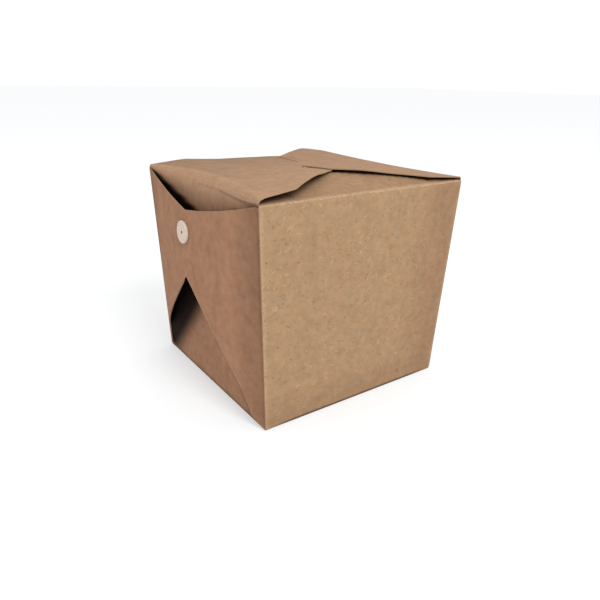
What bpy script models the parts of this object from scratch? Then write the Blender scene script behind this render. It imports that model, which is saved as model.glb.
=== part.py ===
"""A kraft paperboard noodle box, folded shut and riveted at both ends.

Units are metres and Z is up. The origin is the middle of the base. The two plain sides face
-Y and +Y. The two ends face -X and +X: there the corner gussets are folded across the end
panel, stand off from it, and are held together by a rivet. The lid is four flaps: one from
each plain side lies inside, and one from each end lies over them, locked at the middle.
A shut box can't be seen into, so it is solid behind its walls.
"""
import math

import bmesh
import bpy
from mathutils import Matrix, Vector

MM = 0.001

# Driving dimensions of the box
HEIGHT = 97.0 * MM
TOP_X, TOP_Y = 108.0 * MM, 103.6 * MM
BASE_X, BASE_Y = 99.6 * MM, 98.4 * MM
CARD = 0.5 * MM
BASE_FOLD = 0.6 * MM
SIDE_FOLD = 1.2 * MM

# End panels, which are drawn in a little at the middle
END_HOLLOW = 2.0 * MM
HOLLOW_RISE = 25.0 * MM

# Gussets folded across the ends: one strip, high at the corners and narrow at the middle. Of
# the two at an end, the one at the corner where x and y have the same sign is folded slacker:
# its edge sags at the notch, and its arch is curved, with a foot. The other's edges are straight.
GUSSET_THICK = 1.0 * MM
NOTCH_Z = 85.8 * MM
NOTCH_END_Z = 96.0 * MM
NOTCH_SAG = 1.1 * MM
ARCH_Z = 56.0 * MM
ARCH_END_Z = {True: 1.5 * MM, False: 12.0 * MM}
ARCH_SPREAD, ARCH_CURVE = 44.5 * MM, 1.68
ARCH_FOOT, FOOT_Z = 6.7 * MM, 5.0 * MM
ARCH_SLOPE, ARCH_BEND = 0.9, 3.8
EDGE_MARGIN = 0.8 * MM
STAND_OFF_LOW, STAND_OFF_HIGH = 8.9 * MM, 3.9 * MM
STAND_OFF_FALL = 2.2
STAND_OFF_BOW = 2.3
GUSSET_ROOT = 0.15 * MM
GUSSET_SHIFT = 1.7 * MM

# Outer lid flaps, in plan and in height
ROLL_MIDDLE, ROLL_CORNER = 7.0 * MM, 0.8 * MM
SHOULDER_X, SHOULDER_Y = 36.4 * MM, 49.0 * MM
TIP_REACH = 7.2 * MM
HINGE_LIFT = 0.5 * MM
LOCK_GAP = 0.65 * MM
LOCK_SLANT = 1.9
LOCK_SPAN = 2.4 * MM
LOCK_REACH = 15.0 * MM
BEND_SPAN = 0.10

# Corners of a flap's tip along each side edge, as (distance towards its own end, half width),
# for the flap from -X and from +X, and for its edge that faces -Y and +Y
FLAP_TIP = {
    (-1, -1): ((0.0, 23.8 * MM), (-TIP_REACH, 8.9 * MM)),
    (-1, 1): ((-3.8 * MM, 23.8 * MM), (-TIP_REACH, 11.8 * MM)),
    (1, -1): ((0.0, 23.8 * MM), (-TIP_REACH, 8.9 * MM)),
    (1, 1): ((0.0, 20.9 * MM), (-TIP_REACH, 7.0 * MM)),
}

# Rise of each side edge above the box's height, at the hinge, the shoulder and the middle, with
# its bow between the last two and its hump by the hinge: the lock twists each flap
FLAP_RISE = {
    (-1, -1): (1.1 * MM, 4.4 * MM, 5.5 * MM, 1.3 * MM, 1.75 * MM),
    (-1, 1): (1.0 * MM, 2.95 * MM, 5.0 * MM, -0.8 * MM, 0.0),
    (1, -1): (1.5 * MM, 2.7 * MM, 5.3 * MM, 0.3 * MM, 0.0),
    (1, 1): (1.6 * MM, 4.3 * MM, 4.3 * MM, 0.0, 0.0),
}
HUMP_RISE, HUMP_FALL = 12.0, 1.5

# Inner lid flaps, which rise from the plain sides to a level middle
INNER_RISE = 9.6 * MM
INNER_LEVEL = 0.52

# Rivets
RIVET_Z, RIVET_SHIFT = 76.0 * MM, 2.3 * MM
RIVET_RADIUS = 5.0 * MM
RIVET_THICK = 1.0 * MM
RIVET_RIM = 0.2 * MM
RIM_WIDTH, RIM_EDGE = 0.9 * MM, 0.35 * MM
BOSS_RADIUS, DIMPLE_RADIUS = 1.6 * MM, 0.35 * MM
SHANK_RADIUS = 1.7 * MM
SHANK_LENGTH = 2.2 * MM
GAP = 0.3 * MM
RIVET_SEGMENTS = 40

# Fineness of the grids
SIDE_COLUMNS = 18
END_COLUMNS = 20
GUSSET_COLUMNS = 9
WALL_LEVELS = (0.06, 0.15, 0.3, 0.45, 0.6, 0.75, 0.86)
GUSSET_LEVELS = (0.0, 0.1, 0.22, 0.36, 0.5, 0.64, 0.78, 0.9, 1.0)
ROLL_STEPS = 5


def clamp(value, low, high):
    return max(low, min(high, value))


def mix(a, b, t):
    return a + (b - a) * t


def smooth(t):
    t = clamp(t, 0.0, 1.0)
    return t * t * (3.0 - 2.0 * t)


def half_x(z):
    """Half the box's length at a height, at its corners."""
    return mix(BASE_X, TOP_X, z / HEIGHT) / 2


def half_y(z):
    return mix(BASE_Y, TOP_Y, z / HEIGHT) / 2


def panel_x(y, z):
    """How far an end panel stands from the middle of the box."""
    across = 1.0 - clamp(y / half_y(z), -1.0, 1.0) ** 2
    return half_x(z) - END_HOLLOW * across * smooth(z / HOLLOW_RISE)


def roll_radius(y):
    """The end panel turns softly into its lid flap at the middle and sharply at the corners."""
    return ROLL_CORNER + (ROLL_MIDDLE - ROLL_CORNER) * (1.0 - clamp(2 * y / TOP_Y, -1, 1) ** 2)


def flap_edge(side, hand, out):
    """Half width of an outer flap towards one hand, at a distance out from the middle."""
    stations = ((TOP_X / 2, TOP_Y / 2 - GAP), (SHOULDER_X, SHOULDER_Y), *FLAP_TIP[side, hand])
    for (x0, w0), (x1, w1) in zip(stations, stations[1:]):
        if out >= x1:
            return mix(w0, w1, clamp((x0 - out) / (x0 - x1), 0.0, 1.0))
    return stations[-1][1]


def edge_rise(side, hand, out):
    """Rise of a flap's side edge, straight to the shoulder and to the middle, eased between."""
    hinge, shoulder, middle, bow, hump = FLAP_RISE[side, hand]
    bend = 1.0 - SHOULDER_X / (TOP_X / 2)
    u = clamp(1.0 - out / (TOP_X / 2), 0.0, 1.1)
    first, second = (shoulder - hinge) / bend, (middle - shoulder) / (1.0 - bend)
    past = clamp(u - bend, -BEND_SPAN, BEND_SPAN)
    eased = (past + BEND_SPAN) ** 2 / (4 * BEND_SPAN) + max(0.0, u - bend - BEND_SPAN)
    along = clamp((u - bend) / (1.0 - bend), 0.0, 1.0)
    near = clamp(u / bend, 0.0, 1.0)
    rise = hinge + first * u + (second - first) * eased + 4 * bow * along * (1.0 - along)
    return rise + hump * (1.0 - near) ** HUMP_FALL * (1.0 - math.exp(-HUMP_RISE * near))


def flap_plane(side, out, y):
    """Height of an outer flap's top face, before it is pressed onto the other at the lock.

    out is the distance from the middle towards the flap's own end.
    """
    near, far = (edge_rise(side, hand, out) for hand in (-1, 1))
    near_y, far_y = (hand * flap_edge(side, hand, max(0.0, out)) for hand in (-1, 1))
    return HEIGHT + mix(near, far, clamp((y - near_y) / (far_y - near_y), -0.4, 1.4))


def flap_z(side, x, y):
    """Height of an outer flap's top face. The flap from +X is on top where y is less than
    LOCK_SLANT times x, and the flap from -X is on top beyond that line."""
    own = flap_plane(side, side * x, y)
    other = flap_plane(-side, -side * x, y)
    lock = 1.0 - smooth((abs(x) - TIP_REACH) / LOCK_REACH)
    under = clamp(side * (y - LOCK_SLANT * x) / LOCK_SPAN, 0.0, 1.0)
    return own + lock * ((other - own) / 2 - under * LOCK_GAP)


def inner_z(y):
    """Height of the inner flaps at a distance from the middle."""
    w = clamp(1.0 - abs(y) / (TOP_Y / 2), 0.0, INNER_LEVEL)
    return HEIGHT + INNER_RISE * w ** 1.5


def stand_off(y, z):
    """How far the gusset strip stands out from the plane of the corners."""
    middle = mix(STAND_OFF_LOW, STAND_OFF_HIGH, (z / HEIGHT) ** STAND_OFF_FALL)
    return middle * (1.0 - clamp(abs(y) / half_y(z), 0.0, 1.0) ** STAND_OFF_BOW)


def gusset_inner_y(side, hand, z):
    """Where a gusset ends at a height, measured towards its own corner: at the arch below, at
    the notch above, and between them where it meets the other gusset, a little off the middle."""
    slack = hand == side
    middle = -GUSSET_SHIFT if slack else GUSSET_SHIFT
    if z < ARCH_Z:
        fall = ARCH_Z - z
        reach = fall * (ARCH_SLOPE + ARCH_BEND * fall)
        if slack:
            reach = ARCH_SPREAD * (1.0 - (z / ARCH_Z) ** ARCH_CURVE)
            reach += ARCH_FOOT * max(0.0, 1.0 - z / FOOT_Z)
        return min(middle + reach, half_y(z) - EDGE_MARGIN)
    if z > NOTCH_Z:
        across = (z - NOTCH_Z) / (HEIGHT - NOTCH_Z)
        if slack:
            sag = 4 * NOTCH_SAG / (HEIGHT - NOTCH_Z)
            across = (math.sqrt((1.0 - sag) ** 2 + 4 * sag * across) - 1.0 + sag) / (2 * sag)
        return mix(middle, half_y(z), across)
    return middle


def material(name, color, roughness):
    mat = bpy.data.materials.new(name)
    mat.use_nodes = True
    shader = mat.node_tree.nodes["Principled BSDF"]
    shader.inputs["Base Color"].default_value = (*color, 1.0)
    shader.inputs["Roughness"].default_value = roughness
    shader.inputs["Metallic"].default_value = 0.0
    return mat


def mesh_object(name, bm, collection):
    bmesh.ops.recalc_face_normals(bm, faces=bm.faces)
    mesh = bpy.data.meshes.new(name)
    bm.to_mesh(mesh)
    bm.free()
    obj = bpy.data.objects.new(name, mesh)
    collection.objects.link(obj)
    return obj


def grid_faces(bm, rows):
    """Fill between rows of vertices, skipping what has no width."""
    for low, high in zip(rows, rows[1:]):
        for a, b, c, d in zip(low, low[1:], high[1:], high):
            corners = list(dict.fromkeys((a, b, c, d)))
            if len(corners) > 2:
                bm.faces.new(corners)


def sheet_object(name, grids, thickness, outward, collection):
    """A sheet of card from grids of points on its outer face, thickened inwards."""
    bm = bmesh.new()
    for rows in grids:
        grid_faces(bm, [[bm.verts.new(p) for p in row] for row in rows])
    bmesh.ops.remove_doubles(bm, verts=bm.verts, dist=0.01 * MM)
    bmesh.ops.recalc_face_normals(bm, faces=bm.faces)
    if sum(f.normal.dot(outward) * f.calc_area() for f in bm.faces) < 0:
        bmesh.ops.reverse_faces(bm, faces=bm.faces)
    mesh = bpy.data.meshes.new(name)
    bm.to_mesh(mesh)
    bm.free()
    obj = bpy.data.objects.new(name, mesh)
    collection.objects.link(obj)
    solidify = obj.modifiers.new("card", "SOLIDIFY")
    solidify.thickness = thickness
    solidify.offset = -1.0
    return obj


def end_wall(y, z):
    """The body's end wall: the panel's face, and near the top just inside the folded sheet."""
    return panel_x(y, z) - CARD / 2 * smooth((z / HEIGHT - 0.86) / 0.05)


def body_ring(level):
    """Points round the body at a level of the walls, anticlockwise from the -X, -Y corner."""
    z, inset = level
    steps_x = [i / SIDE_COLUMNS for i in range(SIDE_COLUMNS)]
    steps_y = [i / END_COLUMNS for i in range(END_COLUMNS)]
    hx, hy = half_x(z) - inset, half_y(z) - inset
    ring = [Vector((mix(-hx, hx, t), -hy, z)) for t in steps_x]
    ring += [Vector((end_wall(mix(-hy, hy, t), z) - inset, mix(-hy, hy, t), z)) for t in steps_y]
    ring += [Vector((mix(hx, -hx, t), hy, z)) for t in steps_x]
    ring += [Vector((-end_wall(mix(hy, -hy, t), z) + inset, mix(hy, -hy, t), z)) for t in steps_y]
    return ring


def roll_point(side, y, angle, depth):
    """A point on the turn from end panel to lid flap, sunk by a depth into the card."""
    radius = roll_radius(y)
    start = HEIGHT + HINGE_LIFT - radius
    out = panel_x(y, start) - radius * (1.0 - math.cos(angle))
    z = flap_plane(side, out, y) - radius * (1.0 - math.sin(angle))
    return Vector((side * (out - depth * math.cos(angle)), y, z - depth * math.sin(angle)))


def top_ring(angle):
    """Points round the body where the walls turn over into the lid."""
    fold = SIDE_FOLD * (1.0 - math.cos(angle))
    hy = TOP_Y / 2 - fold
    z = HEIGHT - SIDE_FOLD * (1.0 - math.sin(angle))
    left = roll_point(-1, hy, angle, CARD / 2).x
    right = roll_point(1, hy, angle, CARD / 2).x
    steps_x = [i / SIDE_COLUMNS for i in range(SIDE_COLUMNS)]
    steps_y = [i / END_COLUMNS for i in range(1, END_COLUMNS)]
    ring = [Vector((mix(left, right, t), -hy, z)) for t in steps_x]
    ring += [Vector((right, -hy, z))]
    ring += [roll_point(1, mix(-hy, hy, t), angle, CARD / 2) for t in steps_y]
    ring += [Vector((mix(right, left, t), hy, z)) for t in steps_x]
    ring += [Vector((left, hy, z))]
    ring += [roll_point(-1, mix(hy, -hy, t), angle, CARD / 2) for t in steps_y]
    return ring


def lid_core_z(x, y):
    """Top of the body under the lid: the inner flaps, or halfway into an outer flap's card."""
    under = min(flap_z(side, x, y) for side in (-1, 1) if side * x > -TIP_REACH)
    return min(inner_z(y), under - CARD / 2)


def make_body(collection):
    """The filled box, its plain sides and the inner flaps that fold in from them."""
    levels = [(0.0, BASE_FOLD), (BASE_FOLD, 0.0)]
    levels += [(HEIGHT * f, 0.0) for f in WALL_LEVELS]
    rings = [body_ring(level) for level in levels]
    angles = [math.pi / 2 * i / ROLL_STEPS for i in range(ROLL_STEPS + 1)]
    rings += [top_ring(angle) for angle in angles]
    bm = bmesh.new()
    loops = [[bm.verts.new(p) for p in ring] for ring in rings]
    for loop in loops:
        loop.append(loop[0])
    grid_faces(bm, loops)
    bm.faces.new(loops[0][:-1][::-1])

    rim = loops[-1][:-1]
    corner_b = SIDE_COLUMNS
    corner_c = corner_b + END_COLUMNS
    corner_d = corner_c + SIDE_COLUMNS
    front = rim[:corner_b + 1]
    right = rim[corner_b:corner_c + 1]
    back = rim[corner_c:corner_d + 1][::-1]
    left = [rim[0]] + rim[corner_d:][::-1]
    rows = [front]
    for j in range(1, END_COLUMNS):
        t = j / END_COLUMNS
        row = [left[j]]
        for i in range(1, SIDE_COLUMNS):
            s = i / SIDE_COLUMNS
            x = mix(left[j].co.x, right[j].co.x, s)
            y = mix(front[i].co.y, back[i].co.y, t)
            row.append(bm.verts.new((x, y, lid_core_z(x, y))))
        row.append(right[j])
        rows.append(row)
    rows.append(back)
    grid_faces(bm, rows)
    return mesh_object("carton", bm, collection)


def make_end_sheet(side, collection):
    """An end panel's upper part, its soft turn and the outer lid flap, in one piece of card."""
    columns = [i / END_COLUMNS * 2 - 1 for i in range(END_COLUMNS + 1)]
    rows = []
    for f in (0.0, 0.5, 1.0):
        row = []
        for t in columns:
            y = t * (TOP_Y / 2 - 2 * GAP)
            z = mix(0.86 * HEIGHT, HEIGHT + HINGE_LIFT - ROLL_MIDDLE, f)
            sunk = GAP * (1.0 - smooth(f * 2))
            row.append(Vector((side * (panel_x(y, z) - sunk), y, z)))
        rows.append(row)
    for i in range(ROLL_STEPS + 1):
        angle = math.pi / 2 * i / ROLL_STEPS
        rows.append([roll_point(side, t * (TOP_Y / 2 - GAP), angle, 0.0) for t in columns])
    edge = half_x(HEIGHT) - ROLL_CORNER
    stations = [edge * (1 - f) + SHOULDER_X * f for f in (0.33, 0.66, 1.0)]
    stations += [SHOULDER_X * (1 - f) for f in (0.15, 0.3, 0.45, 0.6, 0.75, 0.88, 1.0)]
    stations += [-TIP_REACH * f for f in (0.27, 0.53, 1.0)]
    for out in stations:
        near, far = (flap_edge(side, hand, out) for hand in (-1, 1))
        f = (edge - out) / (edge + TIP_REACH)
        row = []
        for t in columns:
            y = mix(-near, far, (t + 1.0) / 2)
            start = side * roll_point(side, y, math.pi / 2, 0.0).x
            x = side * mix(start, -TIP_REACH, f)
            row.append(Vector((x, y, flap_z(side, x, y))))
        rows.append(row)
    outward = Vector((side * 0.1, 0.0, 1.0))
    return sheet_object(f"end_sheet_{side}", [rows], CARD, outward, collection)


def make_gussets(side, collection):
    """The gusset strip across an end, folded double along its arched lower edge."""
    halves = []
    for hand in (-1, 1):
        levels = [mix(ARCH_END_Z[hand == side], ARCH_Z, f) for f in GUSSET_LEVELS]
        levels += [mix(ARCH_Z, NOTCH_Z, f) for f in (0.25, 0.5, 0.75, 1.0)]
        levels += [mix(NOTCH_Z, NOTCH_END_Z, f) for f in (0.25, 0.5, 0.75, 1.0)]
        rows = []
        for z in levels:
            row = []
            for i in range(GUSSET_COLUMNS + 1):
                t = i / GUSSET_COLUMNS
                y = hand * mix(half_y(z) - GUSSET_ROOT, gusset_inner_y(side, hand, z), t)
                root = GUSSET_ROOT * (1.0 - smooth(t * GUSSET_COLUMNS))
                row.append(Vector((side * (half_x(z) + stand_off(y, z) - root), y, z)))
            rows.append(row)
        halves.append(rows)
    outward = Vector((side, 0.0, 0.0))
    return sheet_object(f"gussets_{side}", halves, GUSSET_THICK, outward, collection)


def rivet_frame(side):
    """Where a rivet sits on the strip, with its Z axis along the strip's outward normal."""
    step = 1.0 * MM
    lean = (half_x(RIVET_Z + step) + stand_off(0.0, RIVET_Z + step)
            - half_x(RIVET_Z - step) - stand_off(0.0, RIVET_Z - step)) / (2 * step)
    normal = Vector((side, 0.0, -lean)).normalized()
    across = Vector((0.0, side, 0.0))
    upward = normal.cross(across)
    frame = Matrix((across, upward, normal)).transposed().to_4x4()
    out = half_x(RIVET_Z) + stand_off(0.0, RIVET_Z)
    frame.translation = Vector((side * out, -side * RIVET_SHIFT, RIVET_Z))
    return frame


def turned(name, profile, frame, collection):
    """A round piece: the profile's (radius, height) points turned about Z."""
    bm = bmesh.new()
    verts = [bm.verts.new((r, 0.0, h)) for r, h in profile]
    edges = [bm.edges.new(pair) for pair in zip(verts, verts[1:])]
    bmesh.ops.spin(bm, geom=verts + edges, cent=(0, 0, 0), axis=(0, 0, 1),
                   angle=2 * math.pi, steps=RIVET_SEGMENTS, use_merge=True)
    bmesh.ops.remove_doubles(bm, verts=bm.verts, dist=0.001 * MM)
    obj = mesh_object(name, bm, collection)
    obj.matrix_world = frame
    return obj


def rivet_profile():
    """Down the front face from the dimple, round the rim, and down the shank to its end."""
    face, rim = GAP + RIVET_THICK, GAP + RIVET_THICK + RIVET_RIM
    points = [(0.0, face - 0.45 * MM), (DIMPLE_RADIUS, face - 0.3 * MM),
              (2 * DIMPLE_RADIUS, face + 0.12 * MM), (BOSS_RADIUS, face + 0.1 * MM),
              (BOSS_RADIUS + 2 * RIM_EDGE, face), (RIVET_RADIUS - RIM_WIDTH - RIM_EDGE, face),
              (RIVET_RADIUS - RIM_WIDTH, rim), (RIVET_RADIUS - RIM_EDGE, rim)]
    for angle in (math.pi / 6, math.pi / 3, math.pi / 2):
        points.append((RIVET_RADIUS - RIM_EDGE * (1.0 - math.sin(angle)),
                       rim - RIM_EDGE * (1.0 - math.cos(angle))))
    points += [(RIVET_RADIUS, GAP + 0.2 * MM), (RIVET_RADIUS - 0.2 * MM, GAP),
               (SHANK_RADIUS, GAP), (SHANK_RADIUS, GAP - SHANK_LENGTH),
               (0.0, GAP - SHANK_LENGTH)]
    return points


def apply_modifiers(obj):
    evaluated = obj.evaluated_get(bpy.context.evaluated_depsgraph_get())
    mesh = bpy.data.meshes.new_from_object(evaluated)
    old = obj.data
    obj.modifiers.clear()
    obj.data = mesh
    bpy.data.meshes.remove(old)


def boolean(obj, operation, collection):
    """Join or cut with everything in a collection, and remove the collection's objects."""
    modifier = obj.modifiers.new(operation.lower(), "BOOLEAN")
    modifier.operation = operation
    modifier.operand_type = "COLLECTION"
    modifier.collection = collection
    modifier.solver = "EXACT"
    bpy.context.view_layer.update()
    apply_modifiers(obj)
    for part in list(collection.objects):
        bpy.data.objects.remove(part)
    bpy.data.collections.remove(collection)


def tidy_mesh(obj, crease):
    """Drop slivers, then shade the soft turns smooth and keep the folds sharp."""
    bm = bmesh.new()
    bm.from_mesh(obj.data)
    bmesh.ops.dissolve_degenerate(bm, edges=bm.edges, dist=0.002 * MM)
    bmesh.ops.triangulate(bm, faces=bm.faces)
    bm.to_mesh(obj.data)
    bm.free()
    obj.data.shade_smooth()
    obj.data.set_sharp_from_angle(angle=math.radians(crease))


def new_collection(name):
    collection = bpy.data.collections.new(name)
    bpy.context.scene.collection.children.link(collection)
    return collection


for old in list(bpy.data.objects):
    bpy.data.objects.remove(old)
scene_collection = bpy.context.scene.collection

kraft = material("kraft_board", (0.46, 0.31, 0.18), 0.75)
cream = material("cream_plastic", (0.70, 0.62, 0.51), 0.45)

carton = make_body(scene_collection)
folds = new_collection("folds")
holes = new_collection("holes")
for end in (-1, 1):
    make_end_sheet(end, folds)
    make_gussets(end, folds)
    bore = [(0.0, GAP + MM), (SHANK_RADIUS + GAP, GAP + MM),
            (SHANK_RADIUS + GAP, -SHANK_LENGTH - GAP), (0.0, -SHANK_LENGTH - GAP)]
    cutter = turned(f"rivet_hole_{end}", bore, rivet_frame(end), holes)
    cutter.hide_render = True
    cutter.display_type = "WIRE"
boolean(carton, "UNION", folds)
boolean(carton, "DIFFERENCE", holes)
tidy_mesh(carton, 30)
carton.data.materials.clear()
carton.data.materials.append(kraft)

for end, name in ((-1, "rivet_left"), (1, "rivet_right")):
    rivet = turned(name, rivet_profile(), rivet_frame(end), scene_collection)
    tidy_mesh(rivet, 40)
    rivet.data.materials.append(cream)
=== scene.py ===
"""The looks of a kraft paperboard noodle box, folded shut and riveted at both ends.

Units are metres in the frame's coordinates: Z up, the plain sides facing -Y and +Y, the
riveted ends facing -X and +X. Sizes are given in millimetres times MM.
"""
import math

import bmesh
import bpy
from mathutils import Matrix, Vector, noise


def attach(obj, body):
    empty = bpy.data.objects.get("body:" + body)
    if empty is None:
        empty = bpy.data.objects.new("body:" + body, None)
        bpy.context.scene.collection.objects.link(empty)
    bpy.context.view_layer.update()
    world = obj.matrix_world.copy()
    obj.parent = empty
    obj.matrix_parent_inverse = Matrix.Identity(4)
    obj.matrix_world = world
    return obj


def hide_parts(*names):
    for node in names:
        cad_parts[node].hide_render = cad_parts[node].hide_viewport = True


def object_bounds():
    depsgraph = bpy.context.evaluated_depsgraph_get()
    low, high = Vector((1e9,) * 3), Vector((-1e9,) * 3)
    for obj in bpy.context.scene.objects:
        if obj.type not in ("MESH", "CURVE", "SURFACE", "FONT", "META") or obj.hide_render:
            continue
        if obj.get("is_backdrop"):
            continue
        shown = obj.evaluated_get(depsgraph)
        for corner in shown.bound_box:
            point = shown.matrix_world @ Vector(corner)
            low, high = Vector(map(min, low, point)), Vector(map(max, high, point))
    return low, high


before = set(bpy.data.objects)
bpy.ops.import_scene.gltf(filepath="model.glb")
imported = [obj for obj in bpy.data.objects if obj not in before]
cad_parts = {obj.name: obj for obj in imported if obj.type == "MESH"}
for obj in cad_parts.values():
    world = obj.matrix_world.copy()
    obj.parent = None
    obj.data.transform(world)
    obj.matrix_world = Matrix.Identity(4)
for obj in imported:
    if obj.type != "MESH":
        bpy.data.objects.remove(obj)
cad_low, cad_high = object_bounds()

# Wrap: the long strip of the blank that makes an inner lid flap, a plain side, the base, the
# other plain side and its inner flap, with the outer layer of the gussets on its edges.
# It is 0.45 mm kraft board, creased and folded, the gussets turned round the ends.
MM = 0.001
HEIGHT = 97.0 * MM
TOP_X, TOP_Y = 108.0 * MM, 103.6 * MM
BASE_X, BASE_Y = 99.6 * MM, 98.4 * MM
CARD = 0.45 * MM
SHARP = math.radians(38.0)


def clamp(value, low, high):
    return max(low, min(high, value))


def mix(a, b, t):
    return a + (b - a) * t


def smooth(t):
    t = clamp(t, 0.0, 1.0)
    return t * t * (3.0 - 2.0 * t)


def half_x(z):
    return mix(BASE_X, TOP_X, z / HEIGHT) / 2


def half_y(z):
    return mix(BASE_Y, TOP_Y, z / HEIGHT) / 2


class Sheet:
    """Board under construction: a surface of grids, then thickened inwards and given its rims.

    Each vertex keeps its place on the flat board in millimetres, how far it takes the second of
    the finish's two tints, how much pale wear and painted highlight it takes, and how much painted
    shade it takes.
    """

    def __init__(self, name):
        self.name = name
        self.bm = bmesh.new()
        self.flat = self.bm.verts.layers.float_vector.new("flat")
        self.tint = self.bm.verts.layers.float.new("tint")
        self.wear_and_highlight = self.bm.verts.layers.float.new("wear_and_highlight")
        self.painted_shade = self.bm.verts.layers.float.new("painted_shade")

    def vert(self, point, flat, tint=0.0, wear_and_highlight=0.0, painted_shade=0.0):
        made = self.bm.verts.new(point)
        made[self.flat] = Vector((flat[0] / MM, flat[1] / MM, 0.0))
        made[self.tint] = tint
        made[self.wear_and_highlight] = wear_and_highlight
        made[self.painted_shade] = painted_shade
        return made

    def grid(self, rows):
        for low, high in zip(rows, rows[1:]):
            for corners in zip(low, low[1:], high[1:], high):
                corners = list(dict.fromkeys(corners))
                if len(corners) > 2 and not self.bm.faces.get(corners):
                    self.bm.faces.new(corners)

    def board(self, thickness, inside, finishes):
        """Thicken away from outside, towards the inside point, and return the object."""
        bmesh.ops.remove_doubles(self.bm, verts=self.bm.verts, dist=0.002 * MM)
        bmesh.ops.dissolve_degenerate(self.bm, edges=self.bm.edges, dist=0.001 * MM)
        bmesh.ops.recalc_face_normals(self.bm, faces=self.bm.faces)
        outward = sum(f.normal.dot(f.calc_center_median() - inside) * f.calc_area()
                      for f in self.bm.faces)
        if outward < 0:
            bmesh.ops.reverse_faces(self.bm, faces=self.bm.faces)
        mesh = bpy.data.meshes.new(self.name)
        self.bm.to_mesh(mesh)
        self.bm.free()
        piece = bpy.data.objects.new(self.name, mesh)
        bpy.context.scene.collection.objects.link(piece)
        for finish in finishes:
            mesh.materials.append(finish.material)
        solidify = piece.modifiers.new("thickness", "SOLIDIFY")
        solidify.thickness = thickness
        solidify.offset = -1.0
        solidify.material_offset = 1
        solidify.material_offset_rim = 2
        evaluated = piece.evaluated_get(bpy.context.evaluated_depsgraph_get())
        piece.data = bpy.data.meshes.new_from_object(evaluated)
        piece.modifiers.clear()
        bpy.data.meshes.remove(mesh)
        piece.data.name = self.name
        piece.data.shade_smooth()
        piece.data.set_sharp_from_angle(angle=SHARP)
        return piece


class Wire:
    """An output of a node. Arithmetic on it adds Math nodes to its material."""

    def __init__(self, finish, socket):
        self.finish, self.socket = finish, socket

    def maths(self, operation, a, b, clamped=False):
        settings = {"operation": operation, "use_clamp": clamped}
        return self.finish.node("ShaderNodeMath", settings, {0: a, 1: b})

    def __add__(self, other):
        return self.maths("ADD", self, other)

    __radd__ = __add__

    def __sub__(self, other):
        return self.maths("SUBTRACT", self, other)

    def __rsub__(self, other):
        return self.maths("SUBTRACT", other, self)

    def __mul__(self, other):
        return self.maths("MULTIPLY", self, other)

    __rmul__ = __mul__

    def __lt__(self, other):
        return self.maths("LESS_THAN", self, other)

    def held(self):
        """The same value, held between 0 and 1."""
        return self.maths("ADD", self, 0.0, clamped=True)


class Finish:
    """A material under construction, round a Principled BSDF."""

    def __init__(self, name, roughness, specular):
        self.material = bpy.data.materials.new(name)
        self.material.use_nodes = True
        self.tree = self.material.node_tree
        self.shader = self.tree.nodes["Principled BSDF"]
        self.shader.inputs["Roughness"].default_value = roughness
        self.shader.inputs["Specular IOR Level"].default_value = specular

    def node(self, kind, settings, sockets, output=0):
        node = self.tree.nodes.new(kind)
        for key, value in settings.items():
            setattr(node, key, value)
        for key, value in sockets.items():
            if isinstance(value, Wire):
                self.tree.links.new(value.socket, node.inputs[key])
            else:
                node.inputs[key].default_value = value
        return Wire(self, node.outputs[output])

    def attribute(self, name, output):
        return self.node("ShaderNodeAttribute", {"attribute_name": name}, {}, output)

    def blend(self, factor, a, b, mode="MIX"):
        """One colour mixed into another."""
        settings = {"data_type": "RGBA", "blend_type": mode}
        colours = {6: a if isinstance(a, Wire) else (*a, 1.0),
                   7: b if isinstance(b, Wire) else (*b, 1.0)}
        return self.node("ShaderNodeMix", settings, {0: factor, **colours}, 2)

    def vector(self, operation, a, b):
        return self.node("ShaderNodeVectorMath", {"operation": operation}, {0: a, 1: b})

    def noise(self, place, size, detail=2.0, roughness=0.5):
        """Noise with features of a size in millimetres."""
        sockets = {"Vector": place, "Scale": 1.0 / size, "Detail": detail, "Roughness": roughness}
        return self.node("ShaderNodeTexNoise", {"noise_dimensions": "2D"}, sockets)

    def link(self, **sockets):
        for name, wire in sockets.items():
            self.tree.links.new(wire.socket, self.shader.inputs[name.replace("_", " ")])


PLAIN = (0.282, 0.184, 0.107)
END = (0.310, 0.168, 0.102)
LID = (0.326, 0.205, 0.128)
INSIDE = (0.20, 0.12, 0.07)
# Cut edge colours, and the pale colour that the face takes with wear and with painted highlight.
EDGE, PALE_EDGE = (0.25, 0.155, 0.09), (0.47, 0.34, 0.21)
WORN_AND_LIT = (0.46, 0.33, 0.205)
RUDDY = (1.04, 0.965, 0.90)
DARK_FIBRE, PALE_FIBRE = (0.12, 0.065, 0.035), (0.52, 0.37, 0.22)
SPECK = (0.08, 0.04, 0.02)
# Near black colours of painted shade in gaps, for the board's faces and for its cut edges.
GAP_SHADE, EDGE_GAP_SHADE = (0.010, 0.005, 0.004), (0.012, 0.006, 0.004)


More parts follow.
